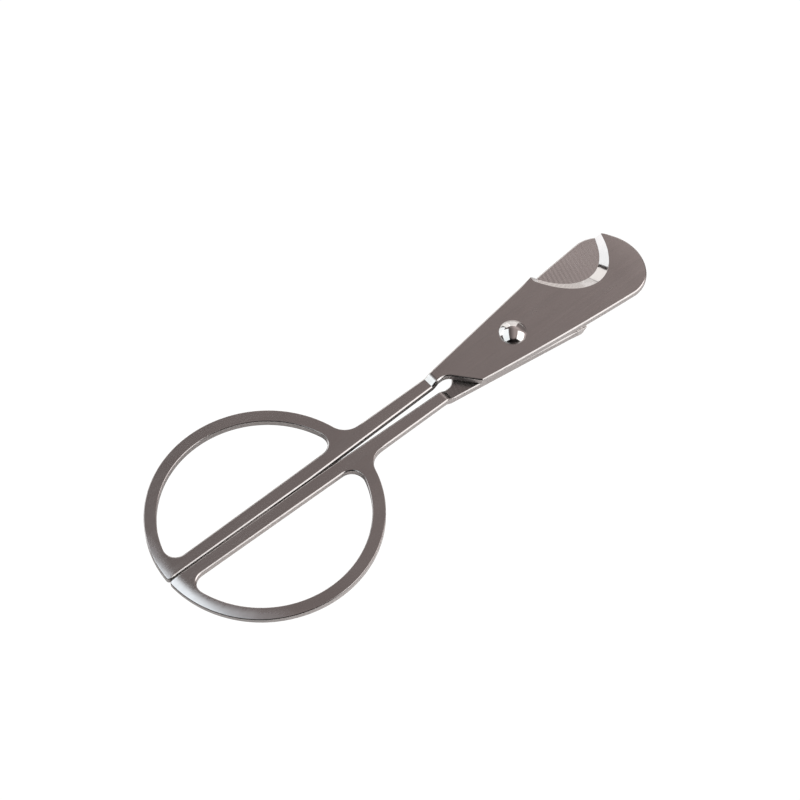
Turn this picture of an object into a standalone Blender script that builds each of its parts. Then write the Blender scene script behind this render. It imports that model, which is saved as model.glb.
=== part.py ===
"""Wick trimmer of the scissors kind: two equal sheet-steel levers that cross on one rivet.

Each lever is one stamping: a blade with a crescent notch, a short joggle (the step
that brings the handle down to the middle plane), a straight shank and half of a round
handle with a D-shaped finger hole. The lower lever is the upper one turned over about
the long axis. The trimmer is modelled closed.

Frame: the origin is on the pivot axis, in the plane that the trimmer rests on. +X runs
from the handles to the blades' nose, +Z is up, and the upper lever's handle is at +Y.
Lengths are in millimetres and angles in degrees until a mesh is written, in metres.
"""

import math

import bmesh
import bpy
from mathutils import Vector

MM = 0.001

# Sheet and heights.
SHEET = 2.0  # thickness of both levers
SLIDING_GAP = 0.1  # between the two blades
SEAT_GAP = 0.05  # between the rivet's heads, the washer and the blades
BLADE_LIFT = (SHEET + SLIDING_GAP) / 2  # from the handle's middle plane to the blade's

# Pivot.
HOLE_R = 2.05
SHANK_R = 2.0
HEAD_R = 3.6
HEAD_EDGE = 0.25  # the short upright rim below the dome
DOME = 1.5
TAIL = 0.7  # height of the closed-over end below the washer, and radius of its round edge
TAIL_FLAT_R = 2.2  # its flat foot, which the trimmer rests on
WASHER_R = 3.7
WASHER = 0.5
TURNS = 64  # sides of every round piece

# The middle plane of the closed trimmer, where the two blades meet.
MEET_Z = TAIL + SEAT_GAP + WASHER + SEAT_GAP + SHEET + SLIDING_GAP / 2

# Handle, in its own frame: the origin at the ring's centre, x along the straight bar.
RING_X = -82.5  # the ring's centre, from the pivot
RING_R = 30.1
HOLE_ARC_X = -0.15  # centre and radius of the finger hole's round side
HOLE_ARC_R = 26.8
BAR_TILT = 0.6  # the handle's x axis leans this much from the long axis
RING_END_Y = 0.48  # the ring's end, at the seam
BAR_OUTER_Y = 3.73  # the bar's outer edge, which is the finger hole's straight side
SHANK_OUTER_Y = 4.23
HOLE_REAR_R = 3.3  # corner radii of the finger hole
HOLE_FRONT_R = 3.6
CROTCH_R = 5.2  # where the ring runs into the shank
REAR_R = 0.8  # corner radius of the ring's end

# Seam, in the trimmer's frame. The two bars lie side by side from the ring's ends to the
# knee, and part from there: each inner edge leans this much from the long axis.
SEAM_KNEE = (-68.0, 0.15)
SEAM_LEAN = 1.35

# Joggle.
JOGGLE_X = (-26.6, -24.4)
JOGGLE_STRIPS = 8

# Blade, in the trimmer's own frame.
BACK_OUTER = (-24.8, 4.5)  # corner of the shank's outer edge and the blade
BACK_CORNER_R = 3.0
HEEL = (-15.8, -6.15)  # where the slanting back edge meets the belly
HEEL_R = 0.5
BACK_SLANT = 50.0  # of the back edge, from the long axis
BELLY_MID = (10.0, -9.25)
BELLY_END = (33.4, -11.35)
CHIN = (36.2, -10.85)  # the rounded corner between belly and nose
NOSE_START = (38.9, -9.4)
NOSE_CENTRE = (30.3, -0.1)
# The notch is ground at a slant, so it has one curve on the outer face and one on the
# cutting face: a Bezier curve from the hook's tip, by two handles, to the shoulder.
HOOK_TOP = (39.2, 8.7)
HOOK_EDGE = (37.9, 9.55)
NOTCH_TOP = ((34.0, -6.85), (21.9, -5.7))
NOTCH_EDGE = ((33.0, -2.6), (22.65, -1.0))
NOTCH_TOP_END = (15.1, 8.75)
NOTCH_EDGE_END = (17.1, 9.7)
SHOULDER_TOP = (15.4, 10.1)
SHOULDER_EDGE = (17.0, 10.25)


def clear_scene():
    """Start from an empty scene."""
    for obj in list(bpy.data.objects):
        bpy.data.objects.remove(obj, do_unlink=True)


def material(name, colour, roughness):
    """A plain metal."""
    mat = bpy.data.materials.new(name)
    mat.use_nodes = True
    shader = mat.node_tree.nodes["Principled BSDF"]
    shader.inputs["Base Color"].default_value = (*colour, 1.0)
    shader.inputs["Metallic"].default_value = 1.0
    shader.inputs["Roughness"].default_value = roughness
    return mat


# Curves of the outline: each gives a list of (x, y), both ends included.


def direction(centre, point):
    """The angle at which a centre sees a point."""
    return math.degrees(math.atan2(point[1] - centre[1], point[0] - centre[0]))


def arc(centre, radius, start, end, steps):
    """Points of a circle from one angle to another."""
    angles = [math.radians(start + (end - start) * k / steps) for k in range(steps + 1)]
    return [
        (centre[0] + radius * math.cos(a), centre[1] + radius * math.sin(a)) for a in angles
    ]


def arc_through(first, middle, last, steps):
    """The circular arc through three points."""
    (ax, ay), (bx, by), (cx, cy) = first, middle, last
    d = 2 * (ax * (by - cy) + bx * (cy - ay) + cx * (ay - by))
    aa, bb, cc = ax * ax + ay * ay, bx * bx + by * by, cx * cx + cy * cy
    ux = (aa * (by - cy) + bb * (cy - ay) + cc * (ay - by)) / d
    uy = (aa * (cx - bx) + bb * (ax - cx) + cc * (bx - ax)) / d
    start, end = (direction((ux, uy), point) for point in (first, last))
    turn = (end - start + 180) % 360 - 180
    return arc((ux, uy), math.hypot(ax - ux, ay - uy), start, start + turn, steps)


def bezier(first, handles, last, steps):
    """A cubic Bezier curve."""
    points = []
    for k in range(steps + 1):
        t = k / steps
        weights = ((1 - t) ** 3, 3 * (1 - t) ** 2 * t, 3 * (1 - t) * t * t, t**3)
        controls = (first, *handles, last)
        points.append(
            tuple(sum(w * c[i] for w, c in zip(weights, controls)) for i in (0, 1))
        )
    return points


def rounded(before, corner, after, radius, steps):
    """A corner of two straight lines, rounded."""
    here = Vector(corner)
    back = (Vector(before) - here).normalized()
    ahead = (Vector(after) - here).normalized()
    half = back.angle(ahead) / 2
    centre = here + (back + ahead).normalized() * radius / math.sin(half)
    start = here + back * radius / math.tan(half)
    end = here + ahead * radius / math.tan(half)
    middle = centre + (here - centre).normalized() * radius
    return arc_through(tuple(start), tuple(middle), tuple(end), steps)


def on_handle(points):
    """Handle points in the trimmer's frame: turned by the bar's lean, about the ring's centre."""
    c, s = math.cos(math.radians(BAR_TILT)), math.sin(math.radians(BAR_TILT))
    return [(RING_X + x * c - y * s, x * s + y * c) for x, y in points]


def seam_y(x):
    """The line of the bar's inner edge ahead of the knee, in the trimmer's frame."""
    return SEAM_KNEE[1] + (x - SEAM_KNEE[0]) * math.tan(math.radians(SEAM_LEAN))


def ring_and_shank():
    """The handle's outline from the shank's outer edge, round the ring, to the seam's rear end."""
    crotch_y = SHANK_OUTER_Y + CROTCH_R
    crotch_x = math.sqrt((RING_R + CROTCH_R) ** 2 - crotch_y**2)
    crotch_angle = direction((0, 0), (crotch_x, crotch_y))
    rear_y = RING_END_Y + REAR_R
    rear_x = -math.sqrt((RING_R - REAR_R) ** 2 - rear_y**2)
    rear_angle = direction((0, 0), (rear_x, rear_y))
    return on_handle(
        arc((crotch_x, crotch_y), CROTCH_R, 270, 180 + crotch_angle, 8)
        + arc((0, 0), RING_R, crotch_angle, rear_angle, 60)[1:]
        + arc((rear_x, rear_y), REAR_R, rear_angle, 270, 6)[1:]
    )


def finger_hole():
    """The D-shaped hole, as a closed loop."""
    centre = (HOLE_ARC_X, 0)
    corners = []
    for radius, side in ((HOLE_REAR_R, -1), (HOLE_FRONT_R, 1)):
        y = BAR_OUTER_Y + radius
        x = HOLE_ARC_X + side * math.sqrt((HOLE_ARC_R - radius) ** 2 - y * y)
        corners.append(((x, y), radius, direction(centre, (x, y))))
    (rear, rear_r, rear_angle), (front, front_r, front_angle) = corners
    return on_handle(
        arc(rear, rear_r, rear_angle, 270, 8)
        + arc(front, front_r, -90, front_angle, 8)
        + arc(centre, HOLE_ARC_R, front_angle, rear_angle, 52)[1:-1]
    )


def blade_end(hook, handles, notch_end, shoulder):
    """The blade's end from the nose, over the hook's tip and round the notch, to the shoulder."""
    radius = math.dist(NOSE_START, NOSE_CENTRE)
    start, end = (direction(NOSE_CENTRE, point) for point in (NOSE_START, hook))
    nose = arc(NOSE_CENTRE, radius, start, end, 16)[:-1]
    return nose + bezier(hook, handles, notch_end, 28) + [shoulder]


def lever_outline():
    """The lever's outline on its cutting face and on its outer face, point for point."""
    slant = math.tan(math.radians(BACK_SLANT))
    lean = math.tan(math.radians(SEAM_LEAN))
    # The slanting back edge meets the seam's line here.
    corner_x = (HEEL[1] + HEEL[0] * slant - seam_y(0)) / (slant + lean)
    back_corner = (corner_x, seam_y(corner_x))
    shared = (
        ring_and_shank()
        + [SEAM_KNEE]
        + rounded(SEAM_KNEE, back_corner, HEEL, BACK_CORNER_R, 8)
        + rounded(back_corner, HEEL, BELLY_MID, HEEL_R, 3)
        + arc_through(HEEL, BELLY_MID, BELLY_END, 12)[2:-1]
        + arc_through(BELLY_END, CHIN, NOSE_START, 8)[:-1]
    )
    edge = blade_end(HOOK_EDGE, NOTCH_EDGE, NOTCH_EDGE_END, SHOULDER_EDGE)
    top = blade_end(HOOK_TOP, NOTCH_TOP, NOTCH_TOP_END, SHOULDER_TOP)
    return shared + edge + [BACK_OUTER], shared + top + [BACK_OUTER]


def joggle_rise(x):
    """Height of the sheet's middle above the handle's middle plane, along the lever."""
    start, end = JOGGLE_X
    t = min(max((x - start) / (end - start), 0.0), 1.0)
    return BLADE_LIFT * t * t * (3 - 2 * t)


def wall(bm, lower, upper, height):
    """A side wall between two loops of the same count. Gives back the loops' edges."""
    low = [bm.verts.new((x, y, -height)) for x, y in lower]
    high = [bm.verts.new((x, y, height)) for x, y in upper]
    count = len(low)
    for k in range(count):
        after = (k + 1) % count
        bm.faces.new((low[k], low[after], high[after], high[k]))
    low_edges = [bm.edges.get((low[k], low[(k + 1) % count])) for k in range(count)]
    high_edges = [bm.edges.get((high[k], high[(k + 1) % count])) for k in range(count)]
    return low_edges, high_edges


def lever_mesh():
    """One lever, its handle's middle plane at z = 0 and its blade above it."""
    bm = bmesh.new()
    lower, upper = lever_outline()
    pivot_hole = arc((0, 0), HOLE_R, 0, 360, TURNS)[:-1]
    loops = [(lower, upper), (finger_hole(),) * 2, (pivot_hole,) * 2]
    low_edges, high_edges = [], []
    for low_loop, high_loop in loops:
        low, high = wall(bm, low_loop, high_loop, SHEET / 2)
        low_edges += low
        high_edges += high
    bmesh.ops.triangle_fill(bm, use_beauty=True, edges=low_edges, normal=(0, 0, -1))
    bmesh.ops.triangle_fill(bm, use_beauty=True, edges=high_edges, normal=(0, 0, 1))
    start, end = JOGGLE_X
    for k in range(JOGGLE_STRIPS + 1):
        x = start + (end - start) * k / JOGGLE_STRIPS
        geometry = bm.verts[:] + bm.edges[:] + bm.faces[:]
        bmesh.ops.bisect_plane(bm, geom=geometry, plane_co=(x, 0, 0), plane_no=(1, 0, 0))
    bmesh.ops.triangulate(bm, faces=bm.faces[:])
    for vert in bm.verts:
        vert.co.z += joggle_rise(vert.co.x)
    return finished(bm, "lever")


def turned_mesh(name, profile):
    """A solid of revolution about Z from a profile of (radius, z)."""
    bm = bmesh.new()
    verts = [bm.verts.new((radius, 0, z)) for radius, z in profile]
    edges = [bm.edges.new(pair) for pair in zip(verts, verts[1:])]
    if profile[0][0] > 0:
        edges.append(bm.edges.new((verts[-1], verts[0])))
    bmesh.ops.spin(
        bm, geom=verts + edges, axis=(0, 0, 1), cent=(0, 0, 0), angle=math.tau, steps=TURNS
    )
    bmesh.ops.remove_doubles(bm, verts=bm.verts[:], dist=0.0005)
    return finished(bm, name)


def finished(bm, name):
    """Writes a mesh in metres, with its faces pointing out and its round parts shaded smooth."""
    bmesh.ops.scale(bm, vec=(MM, MM, MM), verts=bm.verts[:])
    bmesh.ops.recalc_face_normals(bm, faces=bm.faces[:])
    mesh = bpy.data.meshes.new(name)
    bm.to_mesh(mesh)
    bm.free()
    mesh.shade_smooth()
    mesh.set_sharp_from_angle(angle=math.radians(30))
    return mesh


def rivet_mesh():
    """The rivet: a domed head, the shank that the levers turn on, and the closed-over tail."""
    shank_top = MEET_Z + SLIDING_GAP / 2 + SHEET + SEAT_GAP
    rim_top = shank_top + HEAD_EDGE
    dome_r = (HEAD_R**2 + DOME**2) / (2 * DOME)
    dome_angle = math.degrees(math.asin(HEAD_R / dome_r))
    dome = arc((0, rim_top + DOME - dome_r), dome_r, 90 - dome_angle, 90, 10)
    tail = arc((TAIL_FLAT_R, TAIL), TAIL, 0, -90, 6)
    profile = [(0, rim_top + DOME)] + dome[-2::-1]
    profile += [(HEAD_R, shank_top), (SHANK_R, shank_top), (SHANK_R, TAIL)]
    profile += tail + [(0, 0)]
    return turned_mesh("rivet", profile)


def washer_mesh():
    """The plain washer that the rivet's tail is closed over."""
    low = TAIL + SEAT_GAP
    profile = [(HOLE_R, low), (WASHER_R, low), (WASHER_R, low + WASHER), (HOLE_R, low + WASHER)]
    return turned_mesh("washer", profile)


def place(name, mesh, mat, z=0.0, turn=0.0):
    """A named object for one piece, turned about X and lifted."""
    mesh.materials.clear()
    mesh.materials.append(mat)
    obj = bpy.data.objects.new(name, mesh)
    obj.location.z = z * MM
    obj.rotation_euler.x = math.radians(turn)
    bpy.context.scene.collection.objects.link(obj)
    return obj


clear_scene()
lever = lever_mesh()
place("upper_lever", lever, material("upper_lever_steel", (0.56, 0.54, 0.53), 0.28), z=MEET_Z)
place(
    "lower_lever",
    lever.copy(),
    material("lower_lever_steel", (0.56, 0.54, 0.53), 0.28),
    z=MEET_Z,
    turn=180,
)
place("pivot_rivet", rivet_mesh(), material("rivet_chrome", (0.80, 0.79, 0.78), 0.08))
place("rivet_washer", washer_mesh(), material("washer_steel", (0.55, 0.54, 0.53), 0.25))
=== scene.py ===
"""The looks of the scissors-type wick trimmer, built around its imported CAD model.

Both levers, the rivet and its washer are remade here with the detail that the plain solids
leave out: rolled edges, ring ends that are buffed down, a hollow-ground bevel round each
notch, a smooth joggle and a smooth domed rivet head. Their outlines repeat the CAD model's.

Lengths are in millimetres and angles in degrees until a mesh is written, in metres.
"""

import math

import bmesh
import bpy
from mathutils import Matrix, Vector


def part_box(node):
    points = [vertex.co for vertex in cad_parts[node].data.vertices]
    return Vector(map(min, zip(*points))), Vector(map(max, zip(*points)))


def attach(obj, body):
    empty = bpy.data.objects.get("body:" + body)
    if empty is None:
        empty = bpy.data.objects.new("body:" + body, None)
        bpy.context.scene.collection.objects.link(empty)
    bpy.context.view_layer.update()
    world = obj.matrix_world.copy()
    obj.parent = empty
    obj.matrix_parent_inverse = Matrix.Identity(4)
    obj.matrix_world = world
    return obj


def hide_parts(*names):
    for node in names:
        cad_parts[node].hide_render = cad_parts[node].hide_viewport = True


MM = 0.001
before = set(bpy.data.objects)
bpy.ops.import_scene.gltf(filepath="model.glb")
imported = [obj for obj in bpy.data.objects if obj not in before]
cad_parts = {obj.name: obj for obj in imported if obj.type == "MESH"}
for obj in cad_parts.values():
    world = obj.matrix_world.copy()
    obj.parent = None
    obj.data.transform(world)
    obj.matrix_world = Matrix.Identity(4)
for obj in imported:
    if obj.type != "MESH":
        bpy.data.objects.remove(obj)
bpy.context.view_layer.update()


def box_mm(node):
    """A CAD node's lowest and highest corners, in millimetres."""
    low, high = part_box(node)
    return low / MM, high / MM


# Heights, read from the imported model. The handles overlap in height over the sheet's
# thickness, and their shared middle plane is where the two blades meet.
upper_low, upper_high = box_mm("upper_lever")
lower_high = box_mm("lower_lever")[1]
rivet_high = box_mm("pivot_rivet")[1]
washer_low, washer_high = box_mm("rivet_washer")
SHEET = lower_high.z - upper_low.z
MEET_Z = (lower_high.z + upper_low.z) / 2
BLADE_LIFT = upper_high.z - MEET_Z - SHEET / 2

# Handle, in its own frame: the origin at the ring's centre, x along the straight bar.
RING_X = -82.5
RING_R = upper_high.y
HOLE_ARC_X = -0.15
HOLE_ARC_R = 26.8
BAR_TILT = 0.6
RING_END_Y = 0.48
BAR_OUTER_Y = 3.73
SHANK_OUTER_Y = 4.23
HOLE_REAR_R = 3.3
HOLE_FRONT_R = 3.6
CROTCH_R = 5.2
REAR_R = 0.8

# Seam, in the trimmer's frame: side by side to the knee, then parting.
SEAM_KNEE = (-68.0, 0.15)
SEAM_LEAN = 1.35

# Blade, in the trimmer's own frame.
JOGGLE_MIDDLE_X = -25.5
BEND_R = 1.3  # of the joggle's two bends, at the middle of the sheet
BEND_ANGLE = 35.0
BACK_OUTER = (-24.8, 4.5)
BACK_CORNER_R = 3.0
HEEL = (-15.8, -6.15)
HEEL_R = 0.5
BACK_SLANT = 50.0
BELLY_MID = (10.0, -9.25)
BELLY_END = (33.4, -11.35)
CHIN = (36.2, -10.85)
NOSE_START = (38.9, -9.4)
NOSE_CENTRE = (30.3, -0.1)
NOSE_TIP_X = upper_high.x
HOOK_TOP = (39.2, 8.7)
HOOK_EDGE = (37.9, 9.55)
NOTCH_TOP = ((34.0, -6.85), (21.9, -5.7))
NOTCH_EDGE = ((33.0, -2.6), (22.65, -1.0))
NOTCH_TOP_END = (15.1, 8.75)
NOTCH_EDGE_END = (17.1, 9.7)
SHOULDER_TOP = (15.4, 10.1)
SHOULDER_EDGE = (17.0, 10.25)
NOSE_STEPS = 60
NOTCH_STEPS = 120

# Pivot.
PIVOT_HOLE_R = 2.05
SHANK_R = 2.0
SEAT_GAP = 0.05  # between the rivet's heads, the washer and the blades
HEAD_EDGE = 0.25  # the short upright rim below the dome
HEAD_LIP_R = 0.08  # the rounding at the foot of that rim
TAIL_FLAT_R = 2.2  # the flat foot of the closed-over tail
WASHER_CHAMFER = 0.08

# Finish of the edges: (width on the face, height on the wall) of a rounding.
ROLLED = (0.2, 0.2)  # the blanked edges after tumbling
BROKEN = (0.4, 0.3)  # the edges of the blade and the bars, broken wider on the wheel
GROUND = (0.03, 0.03)  # the bevel's two edges, left crisp
EDGE_SECTION = (  # from the face to the wall: a small chamfer with soft shoulders
    (1.0, 0.0),
    (0.86, 0.03),
    (0.72, 0.13),
    (0.42, 0.42),
    (0.13, 0.72),
    (0.03, 0.86),
    (0.0, 1.0),
)
WALL_STEPS = 4
FLAT_BORDER = 0.12  # a level strip inside every rounding, which keeps the faces flat
HOLLOW = 0.07  # depth of the hollow grinding across the bevel
HOLLOW_RUN_IN = 12  # stations over which it deepens from either end of the bevel

# Buffing. The ring's upper face falls away towards its outer edge at the rear, where it was
# held to the wheel: (width, drop, length of ring with all of it, length at which it has gone).
UPPER_CROWN = (1.7, 0.14, 2.0, 10.0)
LOWER_CROWN = (3.0, 0.62, 22.0, 44.0)
CROWN_GRID = 0.55
REAR_LENGTH = 36.0  # of the handle that the crown can reach
END_DUB = (6.0, 0.16)  # the upper face also dips over the ring's last millimetres: length, drop
NOSE_DUB = (9.0, 0.22)  # and the outer face does at the blade's nose
UPPER_BUFFING_AND_HIGHLIGHT_TO = (-112, -108)  # x over which each lever's buffed finish and its painted highlight fade out
LOWER_BUFFING_AND_HIGHLIGHT_TO = (-105, -94)
BUFFING_AND_HIGHLIGHT_RIM = (3.4, 1.4)  # inwards from the ring's edge, where the buffed finish and its painted highlight start and are full
# Painted highlight: the colour of the buffed ring end, a bluish white for the highlight it shows.
PAINTED_HIGHLIGHT_COLOUR = (0.86, 0.87, 0.89, 1)
BUFFED_DULLING = 0.1  # added to the roughness

# The photograph's viewpoint.
VIEW_AZIMUTH = 40.41  # from the trimmer's +Y towards its +X
VIEW_ELEVATION = 56.82
VIEW_TARGET = (-35.05, 3.97)
VIEW_DISTANCE = 642.0
LENS = 112.9


# Curves of the outline: each gives a list of (x, y), both ends included.


def direction(centre, point):
    """The angle at which a centre sees a point."""
    return math.degrees(math.atan2(point[1] - centre[1], point[0] - centre[0]))


def arc(centre, radius, start, end, steps):
    """Points of a circle from one angle to another."""
    angles = [math.radians(start + (end - start) * k / steps) for k in range(steps + 1)]
    return [
        (centre[0] + radius * math.cos(a), centre[1] + radius * math.sin(a)) for a in angles
    ]


def arc_through(first, middle, last, steps):
    """The circular arc through three points."""
    (ax, ay), (bx, by), (cx, cy) = first, middle, last
    d = 2 * (ax * (by - cy) + bx * (cy - ay) + cx * (ay - by))
    aa, bb, cc = ax * ax + ay * ay, bx * bx + by * by, cx * cx + cy * cy
    ux = (aa * (by - cy) + bb * (cy - ay) + cc * (ay - by)) / d
    uy = (aa * (cx - bx) + bb * (ax - cx) + cc * (bx - ax)) / d
    start, end = (direction((ux, uy), point) for point in (first, last))
    turn = (end - start + 180) % 360 - 180
    return arc((ux, uy), math.hypot(ax - ux, ay - uy), start, start + turn, steps)


def bezier(first, handles, last, steps):
    """A cubic Bezier curve."""
    points = []
    controls = (first, *handles, last)
    for k in range(steps + 1):
        t = k / steps
        weights = ((1 - t) ** 3, 3 * (1 - t) ** 2 * t, 3 * (1 - t) * t * t, t**3)
        points.append(
            tuple(sum(w * c[i] for w, c in zip(weights, controls)) for i in (0, 1))
        )
    return points


def rounded(before, corner, after, radius, steps):
    """A corner of two straight lines, rounded."""
    here = Vector(corner)
    back = (Vector(before) - here).normalized()
    ahead = (Vector(after) - here).normalized()
    half = back.angle(ahead) / 2
    centre = here + (back + ahead).normalized() * radius / math.sin(half)
    start = here + back * radius / math.tan(half)
    end = here + ahead * radius / math.tan(half)
    middle = centre + (here - centre).normalized() * radius
    return arc_through(tuple(start), tuple(middle), tuple(end), steps)


def straight(start, end, step):
    """Points along a line, about one step apart, without its ends."""
    count = max(int(math.dist(start, end) / step), 1)
    return [
        (start[0] + (end[0] - start[0]) * k / count, start[1] + (end[1] - start[1]) * k / count)
        for k in range(1, count)
    ]


def on_handle(points):
    """Handle points in the trimmer's frame: turned by the bar's lean, about the ring's centre."""
    c, s = math.cos(math.radians(BAR_TILT)), math.sin(math.radians(BAR_TILT))
    return [(RING_X + x * c - y * s, x * s + y * c) for x, y in points]


def seam_y(x):
    """The line of the bar's inner edge ahead of the knee, in the trimmer's frame."""
    return SEAM_KNEE[1] + (x - SEAM_KNEE[0]) * math.tan(math.radians(SEAM_LEAN))


def smooth(t):
    """Eases from 0 to 1."""
    t = min(max(t, 0.0), 1.0)
    return t * t * (3 - 2 * t)


def mixed(a, b, t):
    """A pair of values between two pairs."""
    return tuple(p + (q - p) * t for p, q in zip(a, b))


# The outline as a list of stations: (point on the cutting face, point on the outer face,
# edge rounding).


def plain(points, rounding=BROKEN):
    """Stations of a square wall."""
    return [(p, p, rounding) for p in points]


def ring_stations():
    """From the shank's outer edge, round the ring, to the seam's rear end."""
    crotch_y = SHANK_OUTER_Y + CROTCH_R
    crotch_x = math.sqrt((RING_R + CROTCH_R) ** 2 - crotch_y**2)
    crotch_angle = direction((0, 0), (crotch_x, crotch_y))
    rear_y = RING_END_Y + REAR_R
    rear_x = -math.sqrt((RING_R - REAR_R) ** 2 - rear_y**2)
    rear_angle = direction((0, 0), (rear_x, rear_y))
    crotch = arc((crotch_x, crotch_y), CROTCH_R, 270, 180 + crotch_angle, 20)
    ring = arc((0, 0), RING_R, crotch_angle, rear_angle, 170)[1:]
    rear = arc((rear_x, rear_y), REAR_R, rear_angle, 270, 12)[1:]
    return plain(on_handle(crotch + ring + rear), ROLLED)


def finger_hole():
    """The D-shaped hole, as a closed loop."""
    centre = (HOLE_ARC_X, 0)
    corners = []
    for radius, side in ((HOLE_REAR_R, -1), (HOLE_FRONT_R, 1)):
        y = BAR_OUTER_Y + radius
        x = HOLE_ARC_X + side * math.sqrt((HOLE_ARC_R - radius) ** 2 - y * y)
        corners.append(((x, y), radius, direction(centre, (x, y))))
    (rear, rear_r, rear_angle), (front, front_r, front_angle) = corners
    flat_start, flat_end = (rear[0], rear[1] - rear_r), (front[0], front[1] - front_r)
    return on_handle(
        arc(rear, rear_r, rear_angle, 270, 24)
        + straight(flat_start, flat_end, 1.5)
        + arc(front, front_r, -90, front_angle, 24)
        + arc(centre, HOLE_ARC_R, front_angle, rear_angle, 150)[1:-1]
    )


def finger_hole_stations():
    """The hole's wall: its edge along the bar is broken wider than round the ring."""
    stations = []
    for x, y in finger_hole():
        t = smooth((y - BAR_OUTER_Y - 1.0) / 2)
        stations.append(((x, y), (x, y), mixed(BROKEN, ROLLED, t)))
    return stations


def blade_end(hook, handles, notch_end, shoulder):
    """The nose, the notch and the shoulder on one face of the blade."""
    radius = math.dist(NOSE_START, NOSE_CENTRE)
    start, end = (direction(NOSE_CENTRE, point) for point in (NOSE_START, hook))
    nose = arc(NOSE_CENTRE, radius, start, end, NOSE_STEPS)[:-1]
    notch = bezier(hook, handles, notch_end, NOTCH_STEPS)
    return nose, notch + [shoulder]


def blade_end_stations():
    """From the nose, over the hook's tip and round the notch, to the shoulder."""
    edge = blade_end(HOOK_EDGE, NOTCH_EDGE, NOTCH_EDGE_END, SHOULDER_EDGE)
    top = blade_end(HOOK_TOP, NOTCH_TOP, NOTCH_TOP_END, SHOULDER_TOP)
    stations = []
    for k, pair in enumerate(zip(edge[0], top[0])):
        # The broken edge sharpens over the last stations before the hook's tip.
        stations.append((*pair, mixed(BROKEN, GROUND, smooth((k - NOSE_STEPS + 10) / 9))))
    return stations + [(*pair, GROUND) for pair in zip(edge[1], top[1])]


def lever_stations():
    """The whole outline of a lever, and the range of stations that belong to the bevel."""
    slant = math.tan(math.radians(BACK_SLANT))
    lean = math.tan(math.radians(SEAM_LEAN))
    corner_x = (HEEL[1] + HEEL[0] * slant - seam_y(0)) / (slant + lean)
    back_corner = (corner_x, seam_y(corner_x))
    ring = ring_stations()
    back = rounded(SEAM_KNEE, back_corner, HEEL, BACK_CORNER_R, 24)
    heel = rounded(back_corner, HEEL, BELLY_MID, HEEL_R, 6)
    belly = arc_through(HEEL, BELLY_MID, BELLY_END, 48)[2:-1]
    chin = arc_through(BELLY_END, CHIN, NOSE_START, 24)[:-1]
    shank_end = ring[0][0]
    shared = (
        ring
        + plain(straight(ring[-1][0], SEAM_KNEE, 1.5))
        + plain([SEAM_KNEE] + straight(SEAM_KNEE, back[0], 1.5))
        + plain(back)
        + plain(straight(back[-1], heel[0], 1.0))
        + plain(heel + belly + chin)
    )
    stations = shared + blade_end_stations()
    # The blade's long outer edge and the shank's, back to where the ring starts.
    run_in = straight(SHOULDER_TOP, BACK_OUTER, 1.0)
    run_in_edge = straight(SHOULDER_EDGE, BACK_OUTER, 1.0)[-len(run_in) :]
    for k, (edge_point, top_point) in enumerate(zip(run_in_edge, run_in)):
        rounding = mixed(GROUND, BROKEN, smooth((k + 1) / 4))
        edge_point = mixed(edge_point, top_point, smooth((k + 1) / 3))
        stations.append((edge_point, top_point, rounding))
    stations += plain([BACK_OUTER] + straight(BACK_OUTER, shank_end, 1.5))
    notch_start = len(shared) + NOSE_STEPS
    return stations, range(notch_start, notch_start + NOTCH_STEPS)


def joggle_size():
    """The joggle's straight part, its length along the sheet and its length along x."""
    turn = math.radians(BEND_ANGLE)
    slope = (BLADE_LIFT - 2 * BEND_R * (1 - math.cos(turn))) / math.sin(turn)
    return slope, 2 * BEND_R * turn + slope, 2 * BEND_R * math.sin(turn) + slope * math.cos(turn)


def joggled(x, z):
    """Where a point of the flat sheet lies once the joggle is bent into it."""
    turn = math.radians(BEND_ANGLE)
    slope, length, width = joggle_size()
    start = JOGGLE_MIDDLE_X - width / 2
    share = (x - start) / width
    if share <= 0:
        return x, z
    if share >= 1:
        return x, z + BLADE_LIFT
    # The second half is the first one turned round, so only the first is worked out.
    along = min(share, 1 - share) * length
    angle = min(along / BEND_R, turn)
    past = max(along - BEND_R * turn, 0.0)
    run = BEND_R * math.sin(angle) + past * math.cos(turn)
    rise = BEND_R * (1 - math.cos(angle)) + past * math.sin(turn)
    if share > 0.5:
        run, rise = width - run, BLADE_LIFT - rise
    return start + run - z * math.sin(angle), rise + z * math.cos(angle)


def crown(x, y, size):
    """How far the ring falls away near its outer edge, at the rear."""
    width, drop, full, gone = size
    along = RING_R * abs(math.atan2(y, RING_X - x))
    fade = 1 - smooth((along - full) / (gone - full))
    inside = RING_R - math.hypot(x - RING_X, y)
    across = max(1 - inside / (width * (0.4 + 0.6 * fade)), 0.0)
    return drop * min(across, 1.0) ** 2 * fade


def nose_dub(x, z):
    """How far a point near the nose is taken down: all of it on the outer face."""
    length, drop = NOSE_DUB
    t = max(1 - (NOSE_TIP_X - x) / length, 0.0)
    return drop * t**2 * (z / SHEET + 0.5)


def end_dub(x):
    """How far the ring's end is taken down, along the lever."""
    length, drop = END_DUB
    t = max(1 - (x - RING_X + RING_R) / length, 0.0)
    return drop * t**2.2


def buffed(x, y, z, crown_size, side):
    """The height of a point once its lever is buffed, all of it on the side that is up."""
    share = 0.5 + side * z / SHEET
    return z - side * share * (end_dub(x) + crown(x, y, crown_size)) - nose_dub(x, z)


def inward(loop):
    """For each point of a loop, the offset that moves both of its edges in by one."""
    count = len(loop)
    area = sum(
        loop[k][0] * loop[(k + 1) % count][1] - loop[(k + 1) % count][0] * loop[k][1]
        for k in range(count)
    )
    side = 1 if area > 0 else -1
    normals = []
    for k in range(count):
        ahead = Vector(loop[(k + 1) % count]) - Vector(loop[k])
        normals.append(Vector((-ahead.y, ahead.x)).normalized() * side)
    offsets = []
    for k in range(count):
        a, b = normals[k - 1], normals[k]
        offsets.append((a + b) / max(1 + a.dot(b), 0.5))
    return offsets


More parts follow.
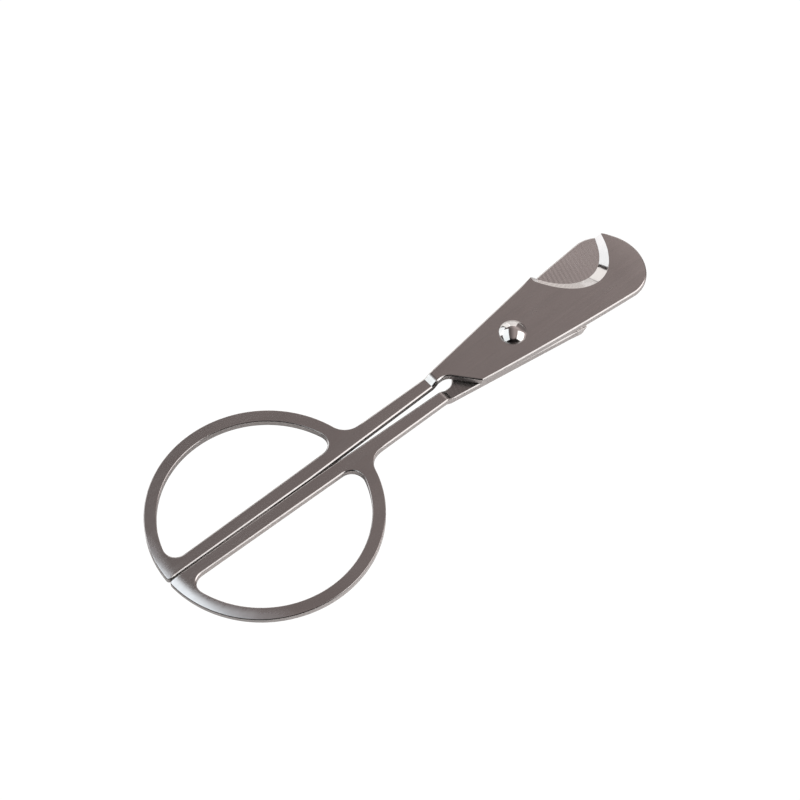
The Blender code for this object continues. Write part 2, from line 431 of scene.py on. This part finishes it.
def edge_rows():
    """The rows of an edge's section, from the cutting face to the outer face.

    Each row is (share of the rounding's width moved in, share of its height kept off the
    face, which face, share of the way up the wall between the roundings).
    """
    rows = [(across, down, -1, 0.0) for across, down in EDGE_SECTION]
    rows += [(0.0, 1.0, 0, k / WALL_STEPS) for k in range(1, WALL_STEPS)]
    rows += [(across, down, 1, 1.0) for across, down in reversed(EDGE_SECTION)]
    return rows


def wall(bm, stations, hollow, hole):
    """The side wall of a loop with its rounded edges.

    Gives back the edges of its border on the cutting face and on the outer face.
    """
    half = SHEET / 2
    side = -1 if hole else 1
    offsets = [
        [o * side for o in inward([station[face] for station in stations])] for face in (0, 1)
    ]
    rings = []
    border = [(1.0, 0.0, -1, 0.0, FLAT_BORDER)]
    rows = border + [(*row, 0.0) for row in edge_rows()] + [(1.0, 0.0, 1, 1.0, FLAT_BORDER)]
    for across, down, face, up, extra in rows:
        ring = []
        for k, (edge_point, top_point, (width, height)) in enumerate(stations):
            if face == 0:
                z = (height - half) + (SHEET - 2 * height) * up
            else:
                z = face * (half - down * height)
            share = (z + half) / SHEET
            base = Vector(mixed(edge_point, top_point, share))
            offset = offsets[0][k].lerp(offsets[1][k], share)
            move = across * width + extra
            if k in hollow:
                bow = min(k - hollow.start, hollow.stop - 1 - k, HOLLOW_RUN_IN) / HOLLOW_RUN_IN
                move += HOLLOW * bow * 4 * share * (1 - share)
            point = base + offset * move
            ring.append(bm.verts.new((point.x, point.y, z)))
        rings.append(ring)
    count = len(stations)
    for low, high in zip(rings, rings[1:]):
        for k in range(count):
            after = (k + 1) % count
            bm.faces.new((low[k], low[after], high[after], high[k]))
    borders = []
    for ring in (rings[0], rings[-1]):
        borders.append([bm.edges.get((ring[k], ring[(k + 1) % count])) for k in range(count)])
    return borders


def sliced(bm, geometry, axis, start, end, step):
    """Cuts faces at even steps along an axis, and gives back what they became."""
    count = round((end - start) / step)
    for k in range(count + 1):
        place = axis * (start + (end - start) * k / count)
        cut = bmesh.ops.bisect_plane(bm, geom=geometry, plane_co=place, plane_no=axis)
        geometry = cut["geom"]
    return geometry


def part_of(bm, low_x, high_x):
    """The faces between two places along x, with their edges and points."""
    faces = [f for f in bm.faces if low_x < f.calc_center_median().x < high_x]
    edges = {edge for face in faces for edge in face.edges}
    verts = {vert for face in faces for vert in face.verts}
    return faces + sorted(edges, key=lambda e: e.index) + sorted(verts, key=lambda v: v.index)


def lever_mesh(crown_size, side):
    """One lever, its handle's middle plane at z = 0 and its blade above it.

    side is 1 where the outer face will be up, and -1 where the cutting face will.
    """
    bm = bmesh.new()
    stations, notch = lever_stations()
    loops = [
        (stations, notch, False),
        (finger_hole_stations(), (), True),
        (plain(arc((0, 0), PIVOT_HOLE_R, 0, 360, 96)[:-1], ROLLED), (), True),
    ]
    cutting_edges, outer_edges = [], []
    for loop, hollow, hole in loops:
        cutting, outer = wall(bm, loop, hollow, hole)
        cutting_edges += cutting
        outer_edges += outer
    for edges, up in ((cutting_edges, -1), (outer_edges, 1)):
        fill = bmesh.ops.triangle_fill(bm, use_beauty=True, edges=edges, normal=(0, 0, up))
        inner = [g for g in fill["geom"] if isinstance(g, bmesh.types.BMEdge)]
        bmesh.ops.dissolve_limit(bm, angle_limit=0.001, edges=inner, verts=[])
    along_x, along_y = Vector((1, 0, 0)), Vector((0, 1, 0))
    half_joggle = joggle_size()[2] / 2
    ring_end = RING_X - RING_R
    crowned = ring_end + REAR_LENGTH
    for start, end, step in (
        (JOGGLE_MIDDLE_X - half_joggle, JOGGLE_MIDDLE_X + half_joggle, 0.1),
        (crowned, crowned + 0.1, 0.1),
        (NOSE_TIP_X - NOSE_DUB[0], NOSE_TIP_X - 0.3, 0.8),
    ):
        everything = bm.verts[:] + bm.edges[:] + bm.faces[:]
        sliced(bm, everything, along_x, start, end, step)
    bm.verts.index_update()
    bm.edges.index_update()
    rear = part_of(bm, ring_end - 1, crowned)
    rear = sliced(bm, rear, along_x, ring_end + 0.4, crowned - CROWN_GRID, CROWN_GRID)
    sliced(bm, rear, along_y, 1.2, RING_R - 1, CROWN_GRID)
    for vert in bm.verts:
        x, y, z = vert.co
        vert.co.x, vert.co.z = joggled(x, buffed(x, y, z, crown_size, side))
    return bm


def write_mesh(bm, name, sharp_angle):
    """Writes a mesh in metres, faces out, smooth except at its sharp edges."""
    bmesh.ops.scale(bm, vec=(MM, MM, MM), verts=bm.verts[:])
    bmesh.ops.recalc_face_normals(bm, faces=bm.faces[:])
    mesh = bpy.data.meshes.new(name)
    bm.to_mesh(mesh)
    bm.free()
    mesh.shade_smooth()
    mesh.set_sharp_from_angle(angle=math.radians(sharp_angle))
    return mesh


def turned_mesh(name, profile, turns=128):
    """A solid of revolution about Z from a profile of (radius, z)."""
    bm = bmesh.new()
    verts = [bm.verts.new((radius, 0, z)) for radius, z in profile]
    edges = [bm.edges.new(pair) for pair in zip(verts, verts[1:])]
    if profile[0][0] > 0:
        edges.append(bm.edges.new((verts[-1], verts[0])))
    bmesh.ops.spin(
        bm, geom=verts + edges, axis=(0, 0, 1), cent=(0, 0, 0), angle=math.tau, steps=turns
    )
    bmesh.ops.remove_doubles(bm, verts=bm.verts[:], dist=0.0005)
    return write_mesh(bm, name, 35)


# Materials.


STREAK_DEPTH = 0.00003  # in metres


class Nodes:
    """A short way to write a material's nodes."""

    def __init__(self, tree):
        self.tree = tree

    def add(self, kind, inputs=None, **settings):
        """A node, with its settings, and its inputs as values or as other nodes' outputs."""
        node = self.tree.nodes.new(kind)
        for name, value in settings.items():
            setattr(node, name, value)
        for key, value in (inputs or {}).items():
            socket = node.inputs[key]
            if isinstance(value, bpy.types.NodeSocket):
                self.tree.links.new(value, socket)
            else:
                socket.default_value = value
        return node

    def noise(self, scale, detail, seed):
        """Noise in the piece's own space. The scale is per metre, along x, y and z."""
        place = self.add("ShaderNodeTexCoord").outputs["Object"]
        mapping = self.add(
            "ShaderNodeMapping", {"Vector": place, "Location": (seed, seed, seed), "Scale": scale}
        )
        return self.add(
            "ShaderNodeTexNoise",
            {"Vector": mapping.outputs["Vector"], "Scale": 1.0, "Detail": detail},
        ).outputs["Fac"]

    def spread(self, value, low, high, span=(0.3, 0.7)):
        """Maps a span of a value onto a range. The usual span is the one that noise fills."""
        return self.add(
            "ShaderNodeMapRange",
            {"Value": value, "From Min": span[0], "From Max": span[1], "To Min": low, "To Max": high},
        ).outputs["Result"]

    def times(self, a, b):
        """The product of two values."""
        return self.add("ShaderNodeMath", {0: a, 1: b}, operation="MULTIPLY").outputs[0]

    def tinted(self, colour, value):
        """A colour times a value."""
        scaled = self.add("ShaderNodeVectorMath", {0: colour, "Scale": value}, operation="SCALE")
        return scaled.outputs["Vector"]


def metal(name, colour, roughness, streaks, mottle=0.03, streak_tone=0.03, bump=0.0, spread=0.12):
    """A metal with fine streaks and a faint mottle.

    streaks is the streak noise's scale per metre; streak_tone and mottle are how much they
    change the tone; spread is how much the streaks change the roughness.
    """
    mat = bpy.data.materials.new(name)
    mat.use_nodes = True
    nodes = Nodes(mat.node_tree)
    shader = mat.node_tree.nodes["Principled BSDF"]
    shader.inputs["Metallic"].default_value = 1.0
    streak = nodes.noise(streaks, 2.0, 3.1)
    cloud = nodes.noise((70, 150, 150), 3.0, 7.7)
    tone = nodes.times(
        nodes.spread(streak, 1 - streak_tone, 1 + streak_tone),
        nodes.spread(cloud, 1 - mottle, 1 + mottle),
    )
    rough = nodes.times(
        nodes.spread(streak, roughness * (1 + spread), roughness * (1 - spread)),
        nodes.spread(cloud, 0.95, 1.05),
    )
    mat.node_tree.links.new(nodes.tinted(colour, tone), shader.inputs["Base Color"])
    mat.node_tree.links.new(rough, shader.inputs["Roughness"])
    if bump:
        relief = nodes.add(
            "ShaderNodeBump", {"Height": streak, "Strength": bump, "Distance": STREAK_DEPTH}
        )
        mat.node_tree.links.new(relief.outputs["Normal"], shader.inputs["Normal"])
    return mat


def add_striations(mat, spacing, lean, strength):
    """Grinding lines across the cutting face, strongest near the notch's shoulder.

    Behind the pivot the face darkens to half: painted shade, where it lies under the other blade's
    back edge.
    """
    tree = mat.node_tree
    nodes = Nodes(tree)
    shader = tree.nodes["Principled BSDF"]
    place = nodes.add("ShaderNodeTexCoord").outputs["Object"]
    turned = nodes.add(
        "ShaderNodeVectorRotate",
        {"Vector": place, "Angle": math.radians(-lean)},
        rotation_type="Z_AXIS",
    )
    wave_per_metre = math.pi / 10 / (spacing * MM)
    lines = nodes.add(
        "ShaderNodeTexWave",
        {
            "Vector": turned.outputs["Vector"],
            "Scale": wave_per_metre,
            "Distortion": 1.2,
            "Detail": 2.0,
            "Detail Scale": 0.4,
        },
    ).outputs["Fac"]
    along = nodes.add("ShaderNodeSeparateXYZ", {"Vector": place}).outputs["X"]
    fade = nodes.times(
        nodes.spread(along, strength, strength * 0.2, (0.02, 0.032)),
        nodes.spread(along, 0.25, 1.0, (0.0, 0.012)),
    )
    # painted shade: the face behind the pivot, under the other blade's back edge, is darkened to half
    painted_shade_behind_pivot = nodes.spread(along, 0.5, 1.0, (-0.018, -0.002))
    tone = nodes.add(
        "ShaderNodeMath", {0: nodes.spread(lines, -1, 1, (0, 1)), 1: fade, 2: painted_shade_behind_pivot},
        operation="MULTIPLY_ADD",
    ).outputs[0]
    plain_colour = shader.inputs["Base Color"].links[0].from_socket
    tree.links.new(nodes.tinted(plain_colour, tone), shader.inputs["Base Color"])


def add_painted_shade(mat, axis, span, low, high):
    """Changes a material's tone along an axis, by the distance from the axis's zero; used for painted
    shade.
    """
    tree = mat.node_tree
    nodes = Nodes(tree)
    shader = tree.nodes["Principled BSDF"]
    place = nodes.add("ShaderNodeTexCoord").outputs["Object"]
    along = nodes.add("ShaderNodeSeparateXYZ", {"Vector": place}).outputs[axis]
    distance = nodes.add("ShaderNodeMath", {0: along}, operation="ABSOLUTE").outputs[0]
    colour = shader.inputs["Base Color"].links[0].from_socket
    toned = nodes.tinted(colour, nodes.spread(distance, low, high, span))
    tree.links.new(toned, shader.inputs["Base Color"])


def add_buffing_and_highlight(mat, buffing_and_highlight_to):
    """Dulls the outer side of the ring's end, buffed after the brushing, and paints a whiter
    highlight on it.
    """
    tree = mat.node_tree
    nodes = Nodes(tree)
    shader = tree.nodes["Principled BSDF"]
    roughness = shader.inputs["Roughness"]
    place = nodes.add("ShaderNodeTexCoord").outputs["Object"]
    along = nodes.add("ShaderNodeSeparateXYZ", {"Vector": place}).outputs["X"]
    centre = (RING_X * MM, 0, 0)
    radius = nodes.add("ShaderNodeVectorMath", {0: place, 1: centre}, operation="DISTANCE")
    rim = [(RING_R - inwards) * MM for inwards in BUFFING_AND_HIGHLIGHT_RIM]
    mask = nodes.times(
        nodes.spread(along, 1.0, 0.0, [x * MM for x in buffing_and_highlight_to]),
        nodes.spread(radius.outputs["Value"], 0.0, 1.0, rim),
    )
    dulled = nodes.add(
        "ShaderNodeMath", {0: mask, 1: BUFFED_DULLING, 2: roughness.links[0].from_socket},
        operation="MULTIPLY_ADD",
    )
    tree.links.new(dulled.outputs[0], roughness)
    # Painted highlight: under the same mask the colour is mixed towards a bluish white.
    plain_colour = shader.inputs["Base Color"].links[0].from_socket
    painted_highlight = nodes.add(
        "ShaderNodeMix", {0: mask, 6: plain_colour, 7: PAINTED_HIGHLIGHT_COLOUR}, data_type="RGBA"
    ).outputs[2]
    tree.links.new(painted_highlight, shader.inputs["Base Color"])


def brushed_face(name, buffing_and_highlight_to):
    """A lever's brushed faces. The buffed finish of the ring's end, and the painted highlight on it,
    fade out along x over the given span.
    """
    mat = metal(
        name, (0.57, 0.55, 0.54), 0.24, (45, 1300, 1300), streak_tone=0.05, bump=0.07
    )
    add_buffing_and_highlight(mat, buffing_and_highlight_to)
    return mat


# Each lever's brushed faces carry the painted highlight of its buffed ring end.
upper_brushed = brushed_face("upper_brushed_face", UPPER_BUFFING_AND_HIGHLIGHT_TO)
lower_brushed = brushed_face("lower_brushed_face", LOWER_BUFFING_AND_HIGHLIGHT_TO)
ground_inside = metal(
    "ground_cutting_face", (0.78, 0.76, 0.75), 0.26, (1500, 150, 150), streak_tone=0.04, bump=0.08
)
add_striations(ground_inside, spacing=1.15, lean=18, strength=0.12)
polished = metal(
    "polished_bevel", (0.79, 0.77, 0.76), 0.09, (300, 900, 2400), mottle=0.02, streak_tone=0.02
)
edge_steel = metal("rolled_edge", (0.62, 0.595, 0.585), 0.2, (900, 900, 300), bump=0.04)
outer_wall = metal("outer_wall", (0.62, 0.595, 0.585), 0.22, (900, 900, 300), bump=0.04)
add_painted_shade(outer_wall, "X", (0.085, 0.104), 1.0, 0.6)  # painted shade: the ring's outer wall darkens towards the ring's rear, for the dimmer light it reflects there
hole_wall = metal("finger_hole_wall", (0.6, 0.565, 0.55), 0.3, (900, 900, 300), bump=0.05)
add_painted_shade(hole_wall, "Y", (0.0045, 0.0075), 1.0, 0.58)  # painted shade too: the hole's wall darkens round its curved side, away from the bar
rivet_chrome = metal(
    "rivet_chrome", (0.82, 0.81, 0.80), 0.06, (600, 600, 600), mottle=0.01, streak_tone=0.01
)
washer_steel = metal("washer_steel", (0.55, 0.54, 0.53), 0.24, (900, 900, 900), bump=0.05)
# Painted shade: the seam's walls face each other across the narrow slot between the handles, and get
# this dark colour for the shade in it.
seam_shade_wall = metal(
    "painted_shade_seam_wall", (0.2, 0.185, 0.18), 0.45, (900, 900, 300), mottle=0.1, bump=0.1
)
heel_wall = metal("heel_wall", (0.46, 0.43, 0.42), 0.42, (900, 900, 300), bump=0.05)
# Painted highlight: the joggle's sloping faces get a lighter colour than the brushed ones, for the
# bright light they reflect.
bent_face_painted_highlight = metal("bent_face_painted_highlight", (0.85, 0.84, 0.83), 0.22, (45, 1300, 1300), bump=0.07)

# A lever's finishes, with its painted shade and painted highlight materials, in the order of its
# material slots after the brushed one.
shared_finishes = (
    ground_inside, polished, edge_steel, outer_wall, seam_shade_wall, hole_wall, heel_wall, bent_face_painted_highlight
)
BRUSHED, GROUND_INSIDE, POLISHED, EDGE, OUTER, SEAM_SHADE, HOLE, HEEL_WALL, BENT_HIGHLIGHT = range(9)
JOGGLE_REACH = 1.8  # either way from the joggle's middle
HEEL_X = (JOGGLE_MIDDLE_X + 1, -10.0)
NOTCH_X = (14.0, 39.5)  # a box round the notch
NOTCH_Y = (-7.5, 10.2)
WALL = 0.2  # a face whose normal rises less than this is part of a wall
FLAT = 0.985  # and one whose normal rises more than this lies flat


def wall_finish(face, centre):
    """The finish of a wall."""
    radius = math.hypot(centre.x - RING_X, centre.y)
    # the seam's walls take the dark painted shade of the slot
    if centre.x < BACK_OUTER[0] and centre.y < 2 * SEAM_KNEE[1] + seam_y(centre.x):
        return SEAM_SHADE
    if radius < HOLE_ARC_R + 0.3 and centre.y > BAR_OUTER_Y - 0.6:
        return HOLE
    if radius < RING_R + 0.1:
        return OUTER
    if HEEL_X[0] < centre.x < HEEL_X[1] and face.normal.x < -0.7:
        return HEEL_WALL
    if in_notch(centre):
        return POLISHED
    return EDGE


def slope_finish(face, centre):
    """The finish of a face, a bevel or a rounding."""
    level = abs(face.normal.z)
    in_joggle = abs(centre.x - JOGGLE_MIDDLE_X) < JOGGLE_REACH
    # the joggle's slopes take the painted highlight
    if in_joggle and 0.6 < face.normal.z < 0.95:
        return BENT_HIGHLIGHT
    if level > FLAT or (in_joggle and level > 0.6):
        return BRUSHED
    if in_notch(centre):
        return POLISHED
    if centre.x < RING_X - RING_R + REAR_LENGTH and level > 0.85:
        return BRUSHED
    return EDGE


def in_notch(centre):
    """Whether a point is in the box round the notch."""
    return NOTCH_X[0] < centre.x < NOTCH_X[1] and NOTCH_Y[0] < centre.y < NOTCH_Y[1]


def assign_lever_faces(bm):
    """Gives each face of a lever its finish, by how it faces and where it is."""
    for face in bm.faces:
        centre = face.calc_center_median()
        if face.normal.z < -0.95 and centre.x > JOGGLE_MIDDLE_X + 1:
            face.material_index = GROUND_INSIDE
        elif abs(face.normal.z) < WALL:
            face.material_index = wall_finish(face, centre)
        else:
            face.material_index = slope_finish(face, centre)


def add_lever(name, node, body, turn, crown_size, brushed):
    """One lever as a piece that replaces its CAD node."""
    bm = lever_mesh(crown_size, -1 if turn else 1)
    bmesh.ops.recalc_face_normals(bm, faces=bm.faces[:])
    assign_lever_faces(bm)
    mesh = write_mesh(bm, name, 27)
    for mat in (brushed, *shared_finishes):
        mesh.materials.append(mat)
    obj = bpy.data.objects.new(name, mesh)
    obj.location.z = MEET_Z * MM
    obj.rotation_euler.x = math.radians(turn)
    bpy.context.scene.collection.objects.link(obj)
    weighted = obj.modifiers.new("flat faces stay flat", "WEIGHTED_NORMAL")
    weighted.keep_sharp = True
    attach(obj, body)
    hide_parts(node)
    return obj


def add_turned(name, node, mesh, mat):
    """A round piece on the pivot axis."""
    mesh.materials.append(mat)
    obj = bpy.data.objects.new(name, mesh)
    bpy.context.scene.collection.objects.link(obj)
    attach(obj, "lower")
    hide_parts(node)
    return obj


def rivet_profile():
    """The rivet: a domed head, the shank that the levers turn on, and the closed-over tail."""
    head_r = rivet_high.x
    seat = upper_high.z + SEAT_GAP
    lip = HEAD_LIP_R
    dome = rivet_high.z - seat - HEAD_EDGE
    dome_r = (head_r**2 + dome**2) / (2 * dome)
    dome_angle = math.degrees(math.asin(head_r / dome_r))
    dome_arc = arc((0, rivet_high.z - dome_r), dome_r, 90 - dome_angle, 90, 32)
    tail = washer_low.z - SEAT_GAP
    tail_edge = arc((TAIL_FLAT_R, tail), tail, 0, -90, 16)
    profile = [(0, rivet_high.z)] + dome_arc[-2::-1]
    profile += arc((head_r - lip, seat + lip), lip, 0, -90, 5)
    profile += [(SHANK_R, seat), (SHANK_R, tail)]
    return profile + tail_edge + [(0, 0)]


def washer_profile():
    """A plain washer with its edges broken."""
    low, high, outer, inner = washer_low.z, washer_high.z, washer_high.x, PIVOT_HOLE_R
    broken = WASHER_CHAMFER
    return [
        (inner, low + broken),
        (inner + broken, low),
        (outer - broken, low),
        (outer, low + broken),
        (outer, high - broken),
        (outer - broken, high),
        (inner + broken, high),
        (inner, high - broken),
    ]


add_lever("upper_lever_steel", "upper_lever", "upper", 0, UPPER_CROWN, upper_brushed)
add_lever("lower_lever_steel", "lower_lever", "lower", 180, LOWER_CROWN, lower_brushed)
rivet = turned_mesh("domed_rivet", rivet_profile())
washer = turned_mesh("tail_washer", washer_profile())
add_turned("domed_rivet", "pivot_rivet", rivet, rivet_chrome)
add_turned("tail_washer", "rivet_washer", washer, washer_steel)


# Stage: a lit white table, soft boxes to the left and right of the camera, and a warm grey room
# that is brightest to the right and dark behind the camera.

TABLE_SIZE = 5.0  # in metres
BACKDROP = 1.05  # how bright the camera sees the table and the room behind it: plain white

azimuth, elevation = math.radians(VIEW_AZIMUTH), math.radians(VIEW_ELEVATION)
FAR = Vector((math.sin(azimuth), math.cos(azimuth), 0))
RIGHT = Vector((math.cos(azimuth), -math.sin(azimuth), 0))
UP = Vector((0, 0, 1))
TARGET = Vector((*VIEW_TARGET, MEET_Z)) * MM


def add_camera():
    """The camera at the photograph's viewpoint."""
    forward = FAR * math.cos(elevation) - UP * math.sin(elevation)
    camera = bpy.data.objects.new("camera", bpy.data.cameras.new("camera"))
    camera.data.lens = LENS
    camera.data.clip_start = 0.01
    camera.location = TARGET - forward * VIEW_DISTANCE * MM
    camera.rotation_mode = "QUATERNION"
    camera.rotation_quaternion = forward.to_track_quat("-Z", "Y")
    bpy.context.scene.collection.objects.link(camera)
    bpy.context.scene.camera = camera


def add_table():
    """A white table that the camera sees as plain white, and the metal sees lit and shadowed."""
    bpy.ops.mesh.primitive_grid_add(x_subdivisions=4, y_subdivisions=4, size=TABLE_SIZE)
    table = bpy.context.object
    table.name = "white_table"
    mat = bpy.data.materials.new("white_table")
    mat.use_nodes = True
    mat.node_tree.nodes.clear()
    nodes = Nodes(mat.node_tree)
    seen = nodes.add("ShaderNodeLightPath").outputs["Is Camera Ray"]
    paper = nodes.add("ShaderNodeBsdfDiffuse", {"Color": (0.8, 0.79, 0.785, 1)})
    white = nodes.add("ShaderNodeEmission", {"Color": (1, 1, 1, 1), "Strength": BACKDROP})
    both = nodes.add("ShaderNodeMixShader", {0: seen, 1: paper.outputs[0], 2: white.outputs[0]})
    nodes.add("ShaderNodeOutputMaterial", {"Surface": both.outputs[0]})
    table.data.materials.append(mat)


def add_soft_box(name, side_angle, height_angle, size, brightness, colour, mirrored=True):
    """An area light a metre away that faces the trimmer.

    side_angle is to the right of the view's far side. A light that isn't mirrored only lights
    the table.
    """
    a, e = math.radians(side_angle), math.radians(height_angle)
    towards = (FAR * math.cos(a) + RIGHT * math.sin(a)) * math.cos(e) + UP * math.sin(e)
    light = bpy.data.lights.new(name, "AREA")
    light.shape = "RECTANGLE"
    light.size, light.size_y = size
    light.energy = brightness * math.pi * size[0] * size[1]
    light.color = colour
    box = bpy.data.objects.new(name, light)
    box.location = TARGET + towards
    box.rotation_mode = "QUATERNION"
    box.rotation_quaternion = towards.to_track_quat("Z", "Y")
    box.visible_camera = False
    box.visible_glossy = mirrored
    bpy.context.scene.collection.objects.link(box)


def room_ramp(nodes, height, stops):
    """A warm grey that changes with height."""
    ramp = nodes.add("ShaderNodeValToRGB", {"Fac": height})
    ramp.color_ramp.elements.remove(ramp.color_ramp.elements[1])
    for k, (at, grey) in enumerate(stops):
        stop = ramp.color_ramp.elements[0] if k == 0 else ramp.color_ramp.elements.new(at)
        stop.position = at
        stop.color = (grey, grey * 0.84, grey * 0.815, 1)
    return ramp.outputs["Color"]


def add_room():
    """The surroundings that the metal reflects. The camera sees plain white instead."""
    world = bpy.data.worlds.new("room")
    world.use_nodes = True
    bpy.context.scene.world = world
    nodes = Nodes(world.node_tree)
    world.node_tree.nodes.clear()
    place = nodes.add("ShaderNodeTexCoord").outputs["Generated"]
    height = nodes.add("ShaderNodeSeparateXYZ", {"Vector": place}).outputs["Z"]
    ahead = nodes.add("ShaderNodeVectorMath", {0: place, 1: FAR}, operation="DOT_PRODUCT")
    across = nodes.add("ShaderNodeVectorMath", {0: place, 1: RIGHT}, operation="DOT_PRODUCT")
    at_sides = room_ramp(nodes, height, ((0.0, 0.3), (0.5, 0.34), (0.8, 0.25), (1.0, 0.24)))
    far_side = room_ramp(
        nodes, height, ((0.0, 0.1), (0.5, 0.14), (0.7, 0.34), (0.8, 0.27), (0.88, 0.24), (1.0, 0.24))
    )
    far = nodes.spread(ahead.outputs["Value"], 0.0, 1.0, (0.3, 0.55))
    around = nodes.add("ShaderNodeMix", {0: far, 6: at_sides, 7: far_side}, data_type="RGBA")
    not_behind = nodes.add(
        "ShaderNodeMath",
        {
            0: nodes.spread(ahead.outputs["Value"], 0.04, 1.0, (-0.45, 0.05)),
            1: nodes.spread(height, 0.0, 1.0, (0.8, 0.9)),
        },
        operation="MAXIMUM",
    ).outputs[0]
    rightwards = nodes.spread(across.outputs["Value"], 0.5, 1.5, (-0.18, 0.18))
    room = nodes.tinted(around.outputs[2], nodes.times(not_behind, rightwards))
    seen = nodes.add("ShaderNodeLightPath").outputs["Is Camera Ray"]
    shown = nodes.add("ShaderNodeMix", {0: seen}, data_type="RGBA")
    world.node_tree.links.new(room, shown.inputs[6])
    shown.inputs[7].default_value = (BACKDROP, BACKDROP, BACKDROP, 1)
    background = nodes.add("ShaderNodeBackground", {"Color": shown.outputs[2]})
    output = nodes.add("ShaderNodeOutputWorld")
    world.node_tree.links.new(background.outputs[0], output.inputs["Surface"])


add_camera()
add_table()
add_soft_box("left_soft_box", -92, 51, (1.4, 0.68), 1.1, (0.92, 0.975, 1.0))
add_soft_box("left_front_panel", -58, 17, (0.8, 0.6), 1.1, (0.95, 0.98, 1.0))
add_soft_box("right_soft_box", 96, 41, (0.95, 0.72), 1.5, (1.0, 0.99, 0.98))
add_soft_box("far_left_card", -20, 16, (0.34, 0.8), 1.0, (1.0, 0.97, 0.95))
add_soft_box("far_card", 4.5, 16, (0.53, 0.8), 0.75, (1.0, 0.97, 0.95))
add_soft_box("left_table_light", -45, 32, (0.7, 0.6), 3.0, (1.0, 0.98, 0.97), mirrored=False)
add_soft_box("right_table_light", 138, 32, (0.7, 0.6), 5.0, (1.0, 0.98, 0.97), mirrored=False)
add_room()
bpy.context.scene.view_settings.view_transform = "Standard"
